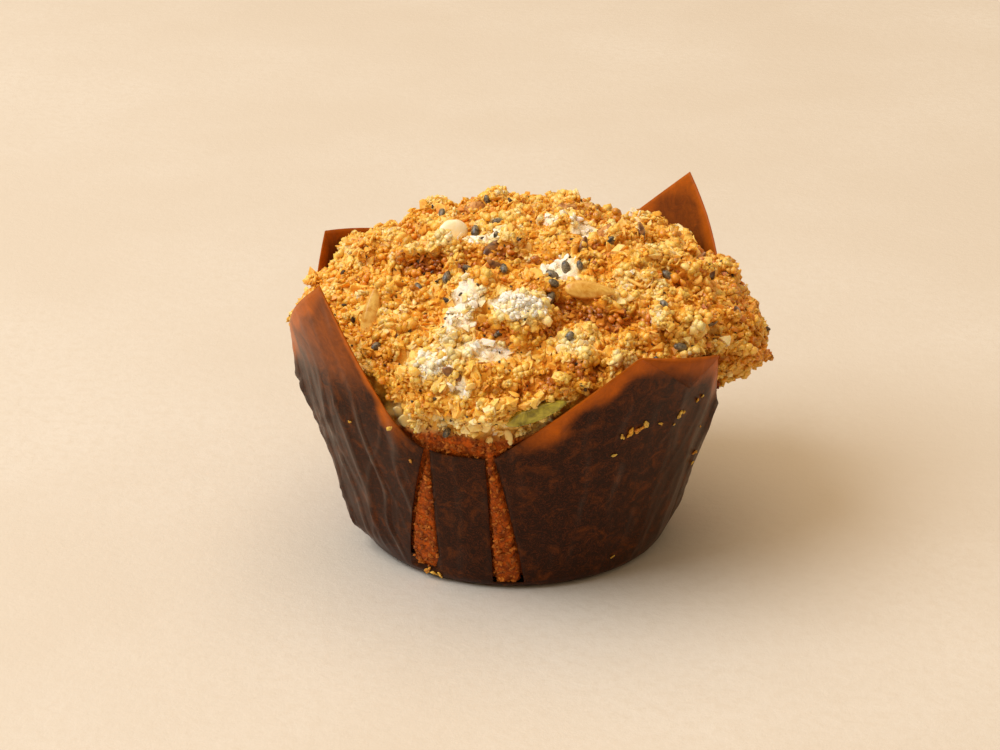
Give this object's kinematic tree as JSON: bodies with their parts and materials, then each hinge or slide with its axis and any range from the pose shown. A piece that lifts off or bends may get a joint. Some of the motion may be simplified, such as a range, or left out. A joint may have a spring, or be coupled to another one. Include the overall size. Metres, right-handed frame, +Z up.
{
  "type": "muffin",
  "caption": "Baked muffin with a craggy crust sown with seeds, standing in a tulip case of brown baking paper with corner petals and slit sides",
  "frame": {"origin": "centre of the case's flat foot, on the surface that it stands on", "axes": "+Z up out of the crust; -Y is the front, the side that the picture shows, with the tongue a little to its left; +X to the right as seen from the front"},
  "size_m": [0.0871, 0.0872, 0.0596],
  "materials": {
    "crust": "matte",
    "paper": "satin"
  },
  "bodies": {
    "root": {"muffin_crumb": "crust", "paper_foot": "paper", "petal_front_left": "paper", "petal_front_right": "paper", "petal_back_right": "paper", "petal_back_left": "paper", "tongue_front": "paper", "tongue_right": "paper", "tongue_back": "paper", "tongue_left": "paper", "folded_tip": "paper"}
  },
  "joints": []
}
